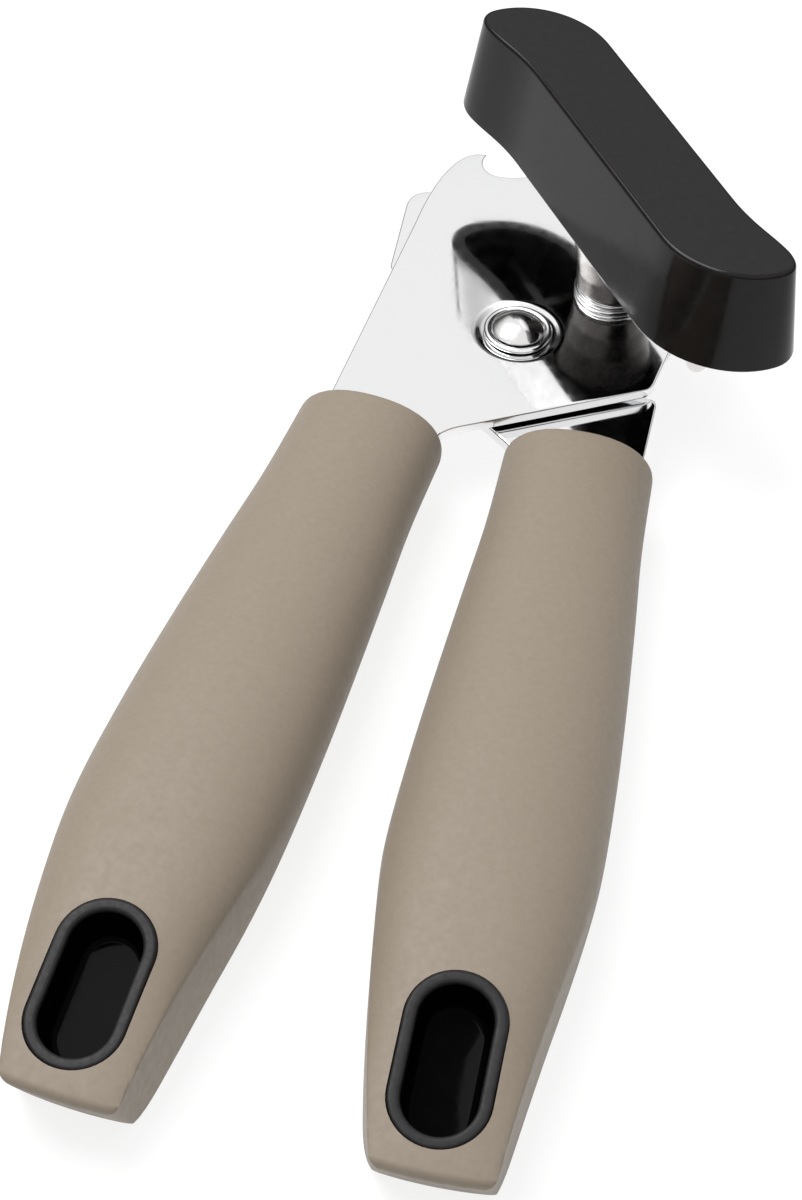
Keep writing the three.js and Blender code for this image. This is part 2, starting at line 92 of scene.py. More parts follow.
# The handles, left (-1) and right (1).
MOUTHS = {-1: Vector((-17.4, -27.8)), 1: Vector((15.85, -26.0))}
SPLAYS = {-1: radians(-3.9), 1: radians(3.0)}
HANDLE_LENGTH = 133
HANDLE_MID = -2.3  # height of the handles' middle plane
HANDLE_BULGE = 0.45  # how far the middle of a handle leans outwards
BUTT_DRIFT = 1.6  # how far each butt turns to the right
DRIFT_LENGTH = 32
BELLY = 10.4  # the flat underside, below the middle plane
SKIN = 2.2  # thickness of the soft grip
# Distance from the butt, half width and half thickness.
HANDLE_STATIONS = [
    (0, 12.9, 5.6),
    (12, 12.85, 8.8),
    (25, 13.5, 10.8),
    (39, 15.0, 10.9),
    (53, 15.4, 10.7),
    (68, 15.1, 10.5),
    (83, 14.4, 10.1),
    (101, 13.3, 9.4),
    (116, 12.3, 8.9),
    (HANDLE_LENGTH, 11.9, 8.6),
]
SQUARENESS = (2.25, 3.0)  # of the section at the mouth and at the butt: 2 is an ellipse
FLAT_START = 58  # the side flats and the droop begin this far from the butt
FLAT_HALF_WIDTH = (16.2, 8.1)  # from the middle to a side flat, there and at the butt
FLAT_POWER = 1.15  # how the flats close in from the one to the other
DROOP = 3.4  # how far the middle of the section drops at the butt
CREASE = 0.12  # softness of the edge along a flat at the butt
CREASE_FADE = 0.4  # and how much softer it is where the flat begins
UNDERCUT = radians(28)
UNDERCUT_SETBACK = 2.6
BUTT_LENGTH = 14  # the stretch that the undercut bends
TANG_HALF_WIDTH = 6.5
TANG_DEPTH = 62
SHOULDER_ROOM = 22  # width of the mouth's slot
SEAT = 0.3  # clearance between moulded pieces

# The hang recess.
RECESS_FROM_BUTT = 15.6
RECESS_LENGTH = 24.4
RECESS_WIDTH = 13.8
RECESS_DEPTH = 9
RECESS_TILT = radians(15.5)
RECESS_TOP = 6.1


# ---------------------------------------------------------------------------------------------
# Materials
# ---------------------------------------------------------------------------------------------
class Surface:
    """A Principled material whose textures are measured in millimetres."""

    def __init__(self, name, colour, roughness, metallic=0.0):
        self.material = bpy.data.materials.new(name)
        self.material.use_nodes = True
        self.tree = self.material.node_tree
        self.shader = self.tree.nodes["Principled BSDF"]
        self.shader.inputs["Base Color"].default_value = (*colour, 1)
        self.shader.inputs["Roughness"].default_value = roughness
        self.shader.inputs["Metallic"].default_value = metallic
        self.place = self.tree.nodes.new("ShaderNodeTexCoord").outputs["Object"]

    def link(self, source, target):
        self.tree.links.new(source, target)

    def node(self, kind, **inputs):
        made = self.tree.nodes.new(kind)
        for name, value in inputs.items():
            made.inputs[name.replace("_", " ")].default_value = value
        return made

    def noise(self, size, detail=3.0, stretch=(1, 1, 1)):
        """Cloudy noise with features about size across."""
        scale = self.node("ShaderNodeMapping")
        scale.inputs["Scale"].default_value = [1 / (MM * size * s) for s in stretch]
        self.link(self.place, scale.inputs["Vector"])
        cloud = self.node("ShaderNodeTexNoise", Scale=1.0, Detail=detail, Roughness=0.55)
        self.link(scale.outputs["Vector"], cloud.inputs["Vector"])
        return cloud.outputs["Fac"]

    def ranged(self, value, low, high, bottom=0.3, top=0.7):
        """The value, spread from low to high."""
        spread = self.node("ShaderNodeMapRange")
        for socket, number in zip(("From Min", "From Max", "To Min", "To Max"), (bottom, top, low, high)):
            spread.inputs[socket].default_value = number
        self.link(value, spread.inputs["Value"])
        return spread.outputs["Result"]

    def shade(self, value, dark, light):
        """The base colour runs from dark to light with the value."""
        ramp = self.tree.nodes.new("ShaderNodeValToRGB")
        ramp.color_ramp.elements[0].color = (*dark, 1)
        ramp.color_ramp.elements[1].color = (*light, 1)
        ramp.color_ramp.elements[0].position = 0.3
        ramp.color_ramp.elements[1].position = 0.7
        self.link(value, ramp.inputs["Fac"])
        self.link(ramp.outputs["Color"], self.shader.inputs["Base Color"])

    def rough(self, value, low, high):
        self.link(self.ranged(value, low, high), self.shader.inputs["Roughness"])

    def bumps(self, *layers):
        """Each layer is a value and how deep it presses the surface, in millimetres."""
        normal = None
        for value, depth in layers:
            bump = self.node("ShaderNodeBump", Strength=1.0, Distance=depth * MM)
            self.link(value, bump.inputs["Height"])
            if normal:
                self.link(normal, bump.inputs["Normal"])
            normal = bump.outputs["Normal"]
        self.link(normal, self.shader.inputs["Normal"])


def chrome():
    surface = Surface("bright_plating", (0.88, 0.88, 0.885), 0.06, metallic=1)
    surface.rough(surface.noise(2.5), 0.045, 0.10)
    surface.bumps((surface.noise(9, detail=1.0), 0.012), (surface.noise(0.35), 0.0006))
    return surface.material


def turned_steel():
    surface = Surface("turned_steel", (0.80, 0.79, 0.785), 0.14, metallic=1)
    surface.rough(surface.noise(1.2), 0.08, 0.2)
    surface.bumps((surface.noise(0.25, stretch=(30, 30, 1)), 0.003))
    return surface.material


def plain_steel():
    surface = Surface("plain_steel", (0.56, 0.555, 0.56), 0.3, metallic=1)
    surface.shade(surface.noise(1.5), (0.48, 0.475, 0.48), (0.62, 0.62, 0.62))
    surface.rough(surface.noise(0.8), 0.22, 0.4)
    surface.bumps((surface.noise(0.3, stretch=(1, 12, 1)), 0.004))
    return surface.material


def soft_grip():
    surface = Surface("soft_taupe", (0.212, 0.174, 0.131), 0.6)
    surface.shade(surface.noise(0.9, detail=6.0), (0.203, 0.166, 0.124), (0.221, 0.182, 0.138))
    surface.rough(surface.noise(1.5), 0.52, 0.68)
    surface.bumps((surface.noise(0.28, detail=4.0), 0.02), (surface.noise(12, detail=1.0), 0.05))
    surface.shader.inputs["Sheen Weight"].default_value = 0.08
    surface.shader.inputs["Sheen Roughness"].default_value = 0.5
    return surface.material


def black_gloss():
    surface = Surface("black_gloss", (0.007, 0.006, 0.006), 0.15)
    surface.shade(surface.noise(3), (0.006, 0.0052, 0.0052), (0.009, 0.0078, 0.0075))
    surface.rough(surface.noise(1.8), 0.09, 0.19)
    surface.bumps((surface.noise(4, detail=1.0), 0.012), (surface.noise(0.5), 0.001))
    surface.shader.inputs["Specular IOR Level"].default_value = 0.2
    return surface.material


def black_matte():
    surface = Surface("black_matte", (0.008, 0.0075, 0.008), 0.55)
    surface.shade(surface.noise(1.5, detail=5.0), (0.007, 0.0066, 0.007), (0.009, 0.0085, 0.009))
    surface.shader.inputs["Specular IOR Level"].default_value = 0.25
    surface.rough(surface.noise(1.1), 0.5, 0.64)
    surface.bumps((surface.noise(0.22, detail=4.0), 0.012))
    return surface.material


def rim_satin():
    surface = Surface("rim_satin", (0.014, 0.0125, 0.014), 0.42)
    surface.shade(surface.noise(0.9, detail=5.0), (0.011, 0.010, 0.011), (0.017, 0.0155, 0.017))
    surface.shader.inputs["Specular IOR Level"].default_value = 0.2
    surface.rough(surface.noise(0.7), 0.36, 0.52)
    surface.bumps((surface.noise(0.2, detail=4.0), 0.01))
    return surface.material


def cup_gloss():
    surface = Surface("cup_gloss", (0.0015, 0.0013, 0.0013), 0.08)
    surface.shade(surface.noise(2), (0.0012, 0.001, 0.001), (0.0018, 0.0016, 0.0016))
    surface.rough(surface.noise(1.5), 0.05, 0.12)
    surface.bumps((surface.noise(3, detail=1.0), 0.01))
    surface.shader.inputs["Specular IOR Level"].default_value = 0.02
    return surface.material


def dark_steel():
    surface = Surface("dark_turned_steel", (0.085, 0.079, 0.075), 0.28, metallic=1)
    surface.shade(surface.noise(1.2), (0.07, 0.065, 0.062), (0.1, 0.093, 0.089))
    surface.rough(surface.noise(1.5), 0.22, 0.34)
    surface.bumps((surface.noise(0.3, stretch=(1, 1, 20)), 0.003))
    return surface.material


CHROME = chrome()
TURNED = turned_steel()
STEEL = plain_steel()
GRIP = soft_grip()
GLOSS = black_gloss()
MATTE = black_matte()
RIM = rim_satin()
CUP = cup_gloss()
DARK = dark_steel()


# ---------------------------------------------------------------------------------------------
# Mesh tools
# ---------------------------------------------------------------------------------------------
def solid(name, points, faces, *materials, index=None, sharp=50):
    """A closed piece from points in millimetres. index gives each face's material."""
    mesh = bpy.data.meshes.new(name)
    mesh.from_pydata([ORIGIN + Vector(p) * MM for p in points], [], faces)
    for material in materials:
        mesh.materials.append(material)
    if index:
        mesh.polygons.foreach_set("material_index", index)
    shaped = bmesh.new()
    shaped.from_mesh(mesh)
    bmesh.ops.recalc_face_normals(shaped, faces=shaped.faces)
    shaped.to_mesh(mesh)
    shaped.free()
    piece = bpy.data.objects.new(name, mesh)
    scene.collection.objects.link(piece)
    soften(piece, sharp)
    return piece


def soften(piece, sharp=50):
    """Smooth shading that keeps flat faces flat and edges past the angle sharp."""
    piece.data.shade_smooth()
    piece.data.set_sharp_from_angle(angle=radians(sharp))
    weighted = piece.modifiers.new("flat_faces", "WEIGHTED_NORMAL")
    weighted.keep_sharp = True
    weighted.weight = 80


def combined(piece, tool, operation):
    """The piece with the tool cut out of it or joined to it. The tool is used up."""
    kept = [(m.type, m.name) for m in piece.modifiers]
    piece.modifiers.clear()
    tool.modifiers.clear()
    change = piece.modifiers.new("change", "BOOLEAN")
    change.operation = operation
    change.solver = "EXACT"
    change.object = tool
    bpy.context.view_layer.update()
    changed = piece.evaluated_get(bpy.context.evaluated_depsgraph_get())
    mesh = bpy.data.meshes.new_from_object(changed)
    piece.modifiers.clear()
    piece.data = mesh
    bpy.data.objects.remove(tool)
    if kept:
        soften(piece)
    return piece


def cut(piece, tool):
    return combined(piece, tool, "DIFFERENCE")


def joined(piece, tool):
    return combined(piece, tool, "UNION")


def stands_for(piece, body, slot, *nodes):
    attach(piece, body)
    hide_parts(*nodes)
    return piece


def rounded(corners, radius, steps=4):
    """A closed outline with its corners rounded off. A corner on the axis x = 0 stays."""
    result = []
    for i, corner in enumerate(corners):
        corner = Vector(corner)
        if corner.x == 0:
            result.append(corner)
            continue
        back = Vector(corners[i - 1]) - corner
        on = Vector(corners[(i + 1) % len(corners)]) - corner
        reach = min(radius, 0.45 * back.length, 0.45 * on.length)
        start = corner + back.normalized() * reach
        end = corner + on.normalized() * reach
        for t in (k / steps for k in range(steps + 1)):
            result.append(start * (1 - t) ** 2 + corner * (2 * t * (1 - t)) + end * t * t)
    return result


def lathe(name, profile, centre, material, radius=0.15, facets=96):
    """A turned piece from a closed outline of (radius, height) corners."""
    outline = rounded(profile, radius)
    points = []
    rows = []
    for r, z in outline:
        count = 1 if r == 0 else facets
        rows.append([len(points) + k for k in range(count)])
        for k in range(count):
            angle = 2 * pi * k / facets
            points.append((centre.x + r * cos(angle), centre.y + r * sin(angle), z))
    faces = []
    for row, after in zip(rows, rows[1:] + rows[:1]):
        if len(row) == 1 and len(after) == 1:
            continue
        for k in range(facets):
            k2 = (k + 1) % facets
            corners = [row[k % len(row)], row[k2 % len(row)], after[k2 % len(after)], after[k % len(after)]]
            faces.append(list(dict.fromkeys(corners)))
    return solid(name, points, faces, material)


def washer(name, inner, outer, low, high, centre, material, radius=0.15):
    profile = [(inner, low), (outer, low), (outer, high), (inner, high)]
    return lathe(name, profile, centre, material, radius)


def block(name, width, depth, height, x, y, z, turn=0.0, material=None):
    """A plain box for cutting and joining, turned about the vertical through its middle."""
    corners = [(sx * width / 2, sy * depth / 2) for sx, sy in ((-1, -1), (1, -1), (1, 1), (-1, 1))]
    points = []
    for level in (z - height / 2, z + height / 2):
        for cx, cy in corners:
            points.append((x + cx * cos(turn) - cy * sin(turn), y + cx * sin(turn) + cy * cos(turn), level))
    faces = [(3, 2, 1, 0), (4, 5, 6, 7), (0, 1, 5, 4), (1, 2, 6, 5), (2, 3, 7, 6), (3, 0, 4, 7)]
    return solid(name, points, faces, material)


def shifted(outline, distance):
    """A counter-clockwise outline moved outwards by a distance."""
    result = []
    for i, point in enumerate(outline):
        along = (outline[(i + 1) % len(outline)] - outline[i - 1]).normalized()
        result.append(point + Vector((along.y, -along.x)) * distance)
    return result


def counter_clockwise(outline):
    area = sum(a.x * b.y - b.x * a.y for a, b in zip(outline, outline[1:] + outline[:1]))
    return outline if area > 0 else outline[::-1]


def inside(point, outline):
    """Whether a point is inside a closed outline."""
    crossings = False
    for a, b in zip(outline, outline[1:] + outline[:1]):
        if (a.y > point.y) != (b.y > point.y):
            if point.x < a.x + (b.x - a.x) * (point.y - a.y) / (b.y - a.y):
                crossings = not crossings
    return crossings


class Outline:
    """A path of lines, quadratic curves and arcs, as a list of points about step apart."""

    def __init__(self, x, y, step=0.8):
        self.points = [Vector((x, y))]
        self.step = step

    def line(self, x, y):
        start, end = self.points[-1], Vector((x, y))
        count = max(1, ceil((end - start).length / self.step))
        self.points += [start.lerp(end, (k + 1) / count) for k in range(count)]
        return self

    def curve(self, cx, cy, x, y):
        start, control, end = self.points[-1], Vector((cx, cy)), Vector((x, y))
        count = max(5, ceil((end - start).length / self.step))
        for t in ((k + 1) / count for k in range(count)):
            self.points.append(start * (1 - t) ** 2 + control * (2 * t * (1 - t)) + end * t * t)
        return self

    def arc(self, centre, radius, first, last):
        """An arc between two angles in degrees, after a line to its start."""
        begin = centre + Vector((cos(radians(first)), sin(radians(first)))) * radius
        self.line(*begin)
        count = max(4, ceil(abs(radians(last - first)) * radius / self.step))
        for k in range(count):
            angle = radians(first + (last - first) * (k + 1) / count)
            self.points.append(centre + Vector((cos(angle), sin(angle))) * radius)
        return self

    def closed(self):
        result = [self.points[0]]
        for point in self.points[1:]:
            if (point - result[-1]).length > 0.05:
                result.append(point)
        if (result[0] - result[-1]).length < 0.05:
            result.pop()
        return counter_clockwise(result)


def circle(centre, radius, facets=64):
    """A clockwise circle."""
    return [
        centre + Vector((cos(2 * pi * k / facets), -sin(2 * pi * k / facets))) * radius
        for k in range(facets)
    ]


def pressed_sheet(name, outline, holes, bottom, top, material, relief, rings=(), pitch=2.2, edge=0.35):
    """Sheet metal with rounded edges. relief(point) is how far it is pressed up or down, and rings are
    extra circles of points, (centre, radius), where the relief is fine."""
    loops = [outline, *holes]
    flat = [shifted(loop, -edge) for loop in loops]
    seeds = [p for loop in flat for p in loop]
    for centre, radius in rings:
        seeds += [p for p in circle(centre, radius, max(24, int(radius * 9))) if inside(p, flat[0])]
    low = Vector((min(p.x for p in outline), min(p.y for p in outline)))
    high = Vector((max(p.x for p in outline), max(p.y for p in outline)))
    rows = int((high.y - low.y) / (pitch * 0.87)) + 1
    columns = int((high.x - low.x) / pitch) + 1
    border = [p for loop in flat for p in loop]
    for j in range(rows):
        for i in range(columns):
            p = low + Vector(((i + 0.5 * (j % 2)) * pitch, j * pitch * 0.87))
            clear = min((p - q).length_squared for q in border) > (0.7 * pitch) ** 2
            if clear and all(abs((p - c).length - r) > 0.5 * pitch for c, r in rings):
                if inside(p, flat[0]) and not any(inside(p, hole) for hole in flat[1:]):
                    seeds.append(p)
    edges = []
    start = 0
    for loop in flat:
        edges += [(start + k, start + (k + 1) % len(loop)) for k in range(len(loop))]
        start += len(loop)
    made = delaunay_2d_cdt(seeds, edges, [], 0, 1e-5)
    spots, triangles, origins = made[0], made[2], made[3]
    place_of = {}
    for new, old in enumerate(origins):
        for seed in old:
            place_of[seed] = new
    kept = []
    for triangle in triangles:
        middle = sum((spots[k] for k in triangle), Vector((0, 0))) / 3
        if inside(middle, flat[0]) and not any(inside(middle, hole) for hole in flat[1:]):
            kept.append(triangle)
    points = [(p.x, p.y, top + relief(p)) for p in spots]
    points += [(p.x, p.y, bottom + relief(p)) for p in spots]
    faces = [tuple(t) for t in kept] + [tuple(len(spots) + k for k in reversed(t)) for t in kept]
    start = 0
    for loop in loops:
        turns = [radians(22.5 * k) for k in range(1, 5)]
        steps = [(edge * (1 - sin(a)), -edge * (1 - cos(a))) for a in turns]
        rims = [[place_of[start + k] for k in range(len(loop))]]
        levels = [(inset, top, drop) for inset, drop in steps]
        levels += [(inset, bottom, -drop) for inset, drop in reversed(steps)]
        for inset, level, drop in levels:
            ring = shifted(loop, -inset)
            rims.append([len(points) + k for k in range(len(loop))])
            points += [(p.x, p.y, level + drop + relief(p)) for p in ring]
        rims.append([len(spots) + place_of[start + k] for k in range(len(loop))])
        for row, after in zip(rims, rims[1:]):
            for k in range(len(loop)):
                k2 = (k + 1) % len(loop)
                faces.append((row[k], row[k2], after[k2], after[k]))
        start += len(loop)
    return solid(name, points, faces, material)


def stacked(name, rows, cap_first, cap_last, *materials, index=None, sharp=50):
    """Closed rings of points joined into a solid, with a fan of faces at each end."""
    count = len(rows[0])
    points = [p for row in rows for p in row]
    faces = []
    chosen = []
    for i in range(len(rows) - 1):
        for j in range(count):
            k = (j + 1) % count
            faces.append((i * count + j, i * count + k, (i + 1) * count + k, (i + 1) * count + j))
            chosen.append(index(i) if index else 0)
    for cap, first, i in ((cap_first, 0, 0), (cap_last, len(rows) - 1, len(rows) - 2)):
        if cap is None:
            continue
        points.append(cap)
        hub = len(points) - 1
        for j in range(count):
            faces.append((first * count + j, first * count + (j + 1) % count, hub))
            chosen.append(index(i) if index else 0)
    return solid(name, points, faces, *materials, index=chosen, sharp=sharp)


# ---------------------------------------------------------------------------------------------
# Handles
# ---------------------------------------------------------------------------------------------
def smooth_step(value, low, high):
    """0 up to low and 1 from high on, with a smooth climb between."""
    t = min(max((value - low) / (high - low), 0), 1)
    return t * t * (3 - 2 * t)


def handle_place(side, x, y, z):
    """A point of a handle's own frame (mouth at y = 0, butt at y = -HANDLE_LENGTH) in the opener."""
    spot = Matrix.Rotation(SPLAYS[side], 2) @ Vector((x, y)) + MOUTHS[side]
    return (spot.x, spot.y, HANDLE_MID + z)


def station(s):
    """Half width and half thickness at a distance from the butt, on a smooth curve."""
    knots = HANDLE_STATIONS
    i = max(k for k in range(len(knots) - 1) if knots[k][0] <= s or k == 0)
    span = knots[i + 1][0] - knots[i][0]
    t = (s - knots[i][0]) / span
    result = []
    for column in (1, 2):
        slopes = []
        for k in (i, i + 1):
            a, b = knots[max(k - 1, 0)], knots[min(k + 1, len(knots) - 1)]
            slopes.append((b[column] - a[column]) / (b[0] - a[0]) * span)
        p, q = knots[i][column], knots[i + 1][column]
        result.append(
            p * (2 * t**3 - 3 * t**2 + 1)
            + slopes[0] * (t**3 - 2 * t**2 + t)
            + q * (3 * t**2 - 2 * t**3)
            + slopes[1] * (t**3 - t**2)
        )
    return result


def eased(first, last, count):
    """Numbers from first to last, closer together at both ends, without the last one."""
    return [first + (last - first) * (1 - cos(pi * k / count)) / 2 for k in range(count)]


def butt_share(s):
    """How far into the butt end a section is: 0 where its flats begin and 1 at the butt."""
    return min(max(1 - s / FLAT_START, 0), 1)


def handle_section(s, inset=0.0):
    """The handle's cross section as (x, z) points, counter-clockwise from the right-hand side."""
    w, h = station(min(max(s, 0), HANDLE_LENGTH))
    w, h = w - inset, h - inset
    share = butt_share(s)
    power = SQUARENESS[0] + (SQUARENESS[1] - SQUARENESS[0]) * share
    start, end = FLAT_HALF_WIDTH
    flat = start + (end - start) * share**FLAT_POWER - inset
    crease = CREASE + CREASE_FADE * (1 - share) ** 2
    drop = DROOP * smooth_step(share, 0, 1)

    def at(angle):
        c, s_ = cos(angle), sin(angle)
        x = w * (abs(c) ** (2 / power)) * (1 if c >= 0 else -1)
        z = h * (abs(s_) ** (2 / power)) * (1 if s_ >= 0 else -1)
        return Vector((x, z))

    def shaped(point):
        over = abs(point.x) - flat
        size = abs(point.x) - (over + sqrt(over * over + crease * crease)) / 2
        z = point.y - drop
        under = -z - BELLY
        if under > -2:
            z += (under + sqrt(under * under + 0.16)) / 2
        return Vector((size if point.x > 0 else -size, z))

    corner = acos(min(0.98, flat / w) ** (power / 2))
    near, far = 0.75 * corner, min(1.25 * corner, 0.8)
    angles = eased(0, near, 8) + eased(near, far, 12) + eased(far, pi / 2, 12)
    quarter = [at(a) for a in angles]
    upper = quarter + [at(pi / 2)] + [Vector((-p.x, p.y)) for p in reversed(quarter)]
    lower = [Vector((p.x, -p.y)) for p in reversed(upper[1:-1])]
    return [shaped(p) for p in upper + lower]


def lean_at(side, s):
    """How far the middle of a handle leans to the right at a distance from the butt."""
    near = max(0, 1 - s / DRIFT_LENGTH)
    return side * HANDLE_BULGE * sin(pi * s / HANDLE_LENGTH) + BUTT_DRIFT * near**2


def handle_form(name, side, inset, material):
    """The outside of a handle, or with an inset the hollow inside it."""
    edge = 1.6 if inset == 0 else 0.5
    lip = 1.1 if inset == 0 else 0.3
    first, last = inset * 3, HANDLE_LENGTH - inset
    bends = [radians(18 * k) for k in range(6)]
    levels = [(first + edge * (1 - cos(a)), edge * (1 - sin(a))) for a in bends]
    count = 96
    middle = last - lip - first - edge
    levels += [(first + edge + middle * k / count, 0.0) for k in range(1, count)]
    levels += [(last - lip * (1 - sin(a)), lip * (1 - sin(pi / 2 - a))) for a in bends]
    levels = sorted(levels)
    rows = []
    for s, tuck in levels:
        near = max(0.0, 1 - s / BUTT_LENGTH) ** 2 if inset == 0 else 0.0
        drop = DROOP * smooth_step(butt_share(s), 0, 1)
        row = []
        for p in handle_section(s, inset + tuck):
            shift = (UNDERCUT_SETBACK - tan(UNDERCUT) * (p.y + drop)) * near
            bow = 0.5 * (p.x / 8) ** 2 * near
            x = lean_at(side, s) + p.x
            row.append(handle_place(side, x, s - HANDLE_LENGTH + shift + bow, p.y))
        rows.append(row)
    ends = [sum((Vector(p) for p in row), Vector()) / len(row) for row in (rows[0], rows[-1])]
    return stacked(name, rows, tuple(ends[0]), tuple(ends[1]), material)


def recess_place(side, x, y, z):
    """A point of the tilted frame round the hang recess."""
    along = y * cos(RECESS_TILT) - z * sin(RECESS_TILT)
    up = y * sin(RECESS_TILT) + z * cos(RECESS_TILT)
    return handle_place(
        side,
        lean_at(side, RECESS_FROM_BUTT) + x,
        RECESS_FROM_BUTT - HANDLE_LENGTH + along,
        RECESS_TOP + up,
    )


def slot_outline(inset, facets=48):
    """An oblong with round ends, counter-clockwise, with the same number of points for every inset."""
    r = RECESS_WIDTH / 2 - inset
    straight = (RECESS_LENGTH - RECESS_WIDTH) / 2
    points = []
    for middle, start in ((straight, 0.0), (-straight, pi)):
        for k in range(facets // 2 + 1):
            angle = start + pi * k / (facets // 2)
            points.append((r * cos(angle), middle + r * sin(angle)))
        x = r * cos(start + pi)
        ends = (straight, -straight) if start == 0 else (-straight, straight)
        points += [(x, ends[0] + (ends[1] - ends[0]) * k / 8) for k in range(1, 8)]
    return points


def recess_stack(name, side, profile, materials, index=None):
    """A solid of oblong rings, each with an inset and a height over the recess's rim."""
    rows = [[recess_place(side, x, y, z) for x, y in slot_outline(inset)] for inset, z in profile]
    caps = [recess_place(side, 0, 0, profile[0][1]), recess_place(side, 0, 0, profile[-1][1])]
    return stacked(name, rows, *caps, *materials, index=index)


def grip(side, label, body, plate_top):
    piece = handle_form(label + "_soft_grip", side, 0, GRIP)
    cut(piece, handle_form("hollow", side, SKIN, None))
    height = 2.0 + 2 * SEAT
    middle = plate_top - 1.0
    x, y, _ = handle_place(side, 0, 0, 0)
    cut(piece, block("slot", SHOULDER_ROOM, 24, height, x, y, middle, turn=SPLAYS[side]))
    cut(piece, recess_stack("plug", side, [(-0.12, -RECESS_DEPTH - SEAT), (-0.12, 12)], ()))
    return stands_for(piece, body, "soft_grip", label + "_grip")


CUP_FLOOR = 1.6 - RECESS_DEPTH
# The hang cup: inset and height of each ring, from its underside up the outside, over the rim and down to
# the floor inside.
LINER_PROFILE = (
    [(0, -RECESS_DEPTH), (0, -0.45), (0.05, -0.05), (0.22, 0.14), (0.5, 0.2), (1.2, 0.2), (1.55, 0.12)]
    + [(1.75, -0.1), (1.82, -0.5), (1.9, -1.6), (2.0, -4.0), (2.1, CUP_FLOOR + 1.4)]
    + [(2.3, CUP_FLOOR + 0.7), (2.8, CUP_FLOOR + 0.2), (3.5, CUP_FLOOR)]
)
LINER_LIP = 8  # the rings before this one are the satin rim


def liner(side, label, body):
    piece = recess_stack(
        label + "_hang_cup",
        side,
        LINER_PROFILE,
        (RIM, CUP),
        index=lambda i: 0 if i < LINER_LIP else 1,
    )
    return stands_for(piece, body, "rim_plastic", label + "_hang_liner")


# ---------------------------------------------------------------------------------------------
# Plates
# ---------------------------------------------------------------------------------------------
def tang(side, left, right):
    """A plate's outline inside its handle, from the left shoulder round its end to the right one."""
    r = TANG_HALF_WIDTH
    end = [(r * cos(pi + pi * i / 12), TANG_DEPTH - r - r * sin(pi + pi * i / 12)) for i in range(13)]
    corners = [(-left, 5), (-r, 11), *end, (r, 11), (right, 5)]
    return [Vector(handle_place(side, across, -depth, 0)[:2]) for across, depth in corners]


def front_plate():
    corners = tang(-1, 9.4, 9.5)
    path = Outline(*corners[0])
    for p in corners[1:]:
        path.line(*p)
    path.line(-6.5, -27.2).curve(-5.6, -25.6, -3.6, -24.4)
    path.line(22.3, -7.9).curve(23.8, -7.0, 24.0, -5.6)
    path.line(25.0, 3.6).curve(25.6, 6.6, 28.0, 7.0)
    path.arc(RIM_PIN, 4.4, -90, 45)
    path.line(26.5, 27).curve(23, 36, 14, 41.5).curve(6, 45.5, 0, 43.0)
    path.curve(-7, 39.4, -10, 38.5).curve(-13.6, 37.4, -15.0, 39.8).curve(-15.9, 41.3, -15.3, 43.2)
    path.curve(-18.3, 43.6, -20.2, 39.2).curve(-22.6, 33.5, -22.9, 22.0)
    path.line(-25.6, -24.0).line(*corners[0])
    holes = [circle(PIVOT, 3.3), circle(SPINDLE, 5.2)]
    rings = [(PIVOT, 4.2 + 0.45 * k) for k in range(9)]

    def relief(p):
        return -0.28 * (1 - smooth_step(p.length, 5.9, 7.5))

    outline = path.closed()
    piece = pressed_sheet("front_lever_plate", outline, holes, FRONT_BACK, FRONT_TOP, CHROME, relief, rings)
    return stands_for(piece, "front_lever", "chrome_plate", "front_plate")


def rear_plate():
    corners = tang(1, 6.6, 9.2)
    path = Outline(*corners[0])
    for p in corners[1:]:
        path.line(*p)
    path.line(25.5, -22.0).line(25.1, -8.2).curve(25.0, -6.4, 23.4, -6.4).line(14.0, -5.2)
    path.arc(PIVOT, 10.7, -12, 56).arc(SPINDLE, 9.0, 214, 150)
    path.curve(4.6, 33.6, -3.0, 34.2).line(-21.6, 33.8).curve(-26.4, 33.4, -26.1, 28.6)
    path.line(-24.8, 12.6).line(-14.0, -8.0).curve(-6.5, -16.5, -0.5, -20.4).line(7.4, -26.4)
    path.line(*corners[0])
    holes = [circle(PIVOT, 3.3), circle(CUTTER, 3.1)]
    dish = Vector((-12, 22.5))
    rings = [(dish, 9.6 + 0.5 * k) for k in range(6)]

    def relief(p):
        pressed = -0.5 * (1 - smooth_step((p - dish).length, 10.0, 12.0))
        return pressed * smooth_step((p - CUTTER).length, 6.6, 8)

    outline = path.closed()
    piece = pressed_sheet("rear_lever_plate", outline, holes, REAR_BACK, REAR_TOP, CHROME, relief, rings)
    return stands_for(piece, "rear_lever", "chrome_plate", "rear_plate")


def rim_pin():
    low, high = heights_of("rim_pin")
    profile = [(0, high), (2.1, high), (1.9, low + 1.4), (1.3, low + 0.3), (0, low)]
    piece = lathe("rim_peg", profile, RIM_PIN, TURNED, radius=0.4)
    return stands_for(piece, "front_lever", "bright_steel", "rim_pin")


